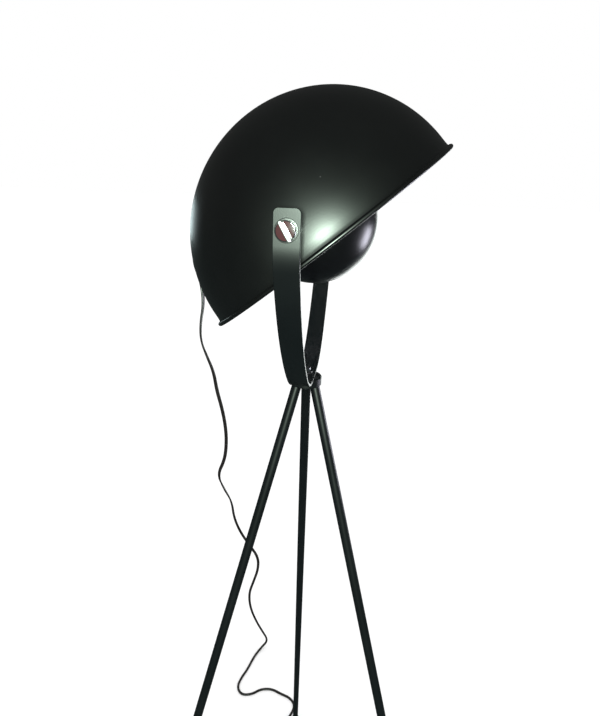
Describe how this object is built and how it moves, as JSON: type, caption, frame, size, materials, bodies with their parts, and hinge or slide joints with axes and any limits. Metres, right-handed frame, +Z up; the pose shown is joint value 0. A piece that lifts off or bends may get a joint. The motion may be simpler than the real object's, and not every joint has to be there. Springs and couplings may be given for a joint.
{
  "type": "tripod floor lamp",
  "caption": "Floor lamp with a black domed shade that tilts in a U-shaped flat-bar yoke on a slim tube tripod, with a small black glare bowl inside the shade.",
  "frame": {"origin": "bottom centre of the box that holds the lamp without its cord, on the floor", "axes": "+Z up; the shade opens towards +X and down; the yoke's arms stand at -Y and +Y of the shade"},
  "size_m": [0.5652, 0.7067, 1.3874],
  "materials": {
    "shade_black": "satin black outside, white inside",
    "bowl_black": "gloss black",
    "frame_grey": "satin dark grey powder coat",
    "chrome": "polished",
    "zinc": "zinc plated",
    "brass": "plain",
    "black_rubber": "matt",
    "black_plastic": "moulded",
    "ceramic_white": "glazed",
    "bulb_glass": "opal",
    "cord_black": "soft PVC"
  },
  "bodies": {
    "stand": {"arm_washer_far": "chrome", "arm_washer_near": "chrome", "bolt_washer": "chrome", "cord_after_switch": "cord_black", "cord_coil": "cord_black", "cord_lower": "cord_black", "cord_tie": "black_plastic", "cord_to_plug": "cord_black", "cord_upper": "cord_black", "foot_left": "black_rubber", "foot_rear": "black_rubber", "foot_right": "black_rubber", "hub": "frame_grey", "leg_inserts": "zinc", "leg_left": "frame_grey", "leg_rear": "frame_grey", "leg_right": "frame_grey", "leg_studs": "zinc", "plug_body": "black_plastic", "plug_boot": "black_rubber", "plug_pins": "brass", "switch_base": "black_plastic", "switch_contacts": "brass", "switch_cover": "black_plastic", "switch_screws": "zinc", "yoke": "frame_grey", "yoke_bolt": "chrome", "yoke_nut": "zinc"},
    "head": {"bowl_lugs": "zinc", "bowl_rod_1": "zinc", "bowl_rod_2": "zinc", "bowl_rod_3": "zinc", "bulb_glass": "bulb_glass", "bulb_screw": "zinc", "centre_contact": "brass", "cord_relief": "black_rubber", "friction_pad_far": "black_rubber", "friction_pad_near": "black_rubber", "glare_bowl": "bowl_black", "holder_cap": "black_plastic", "holder_core": "ceramic_white", "holder_mount": "zinc", "holder_nipple": "zinc", "holder_skirt": "black_plastic", "inner_lead": "cord_black", "pivot_boss_far": "zinc", "pivot_boss_near": "zinc", "pivot_spacer_far": "black_plastic", "pivot_spacer_near": "black_plastic", "rod_nuts": "zinc", "rod_plate": "zinc", "shade": "shade_black", "thread_sleeve": "brass"},
    "thumb_near": {"thumb_screw_near": "chrome"},
    "thumb_far": {"thumb_screw_far": "chrome"},
    "rocker": {"switch_rocker": "black_plastic"}
  },
  "joints": [
    {"name": "shade_tilt", "type": "hinge", "parent": "stand", "child": "head", "pos_m": [-0.01361, -0.06756, 1.26], "axis": [0, 1, 0], "range_deg": [-70, 40], "deforming": ["cord_upper"]},
    {"name": "thumb_near_turn", "type": "hinge", "parent": "head", "child": "thumb_near", "pos_m": [-0.01361, -0.24956, 1.26], "axis": [0, -1, 0], "range_deg": [0, 180]},
    {"name": "thumb_far_turn", "type": "hinge", "parent": "head", "child": "thumb_far", "pos_m": [-0.01361, 0.11444, 1.26], "axis": [0, 1, 0], "range_deg": [0, 180]},
    {"name": "rocker_press", "type": "hinge", "parent": "stand", "child": "rocker", "pos_m": [-0.06, 0.16, 0.0165], "axis": [1, 0, 0], "range_deg": [-16, 0]}
  ]
}
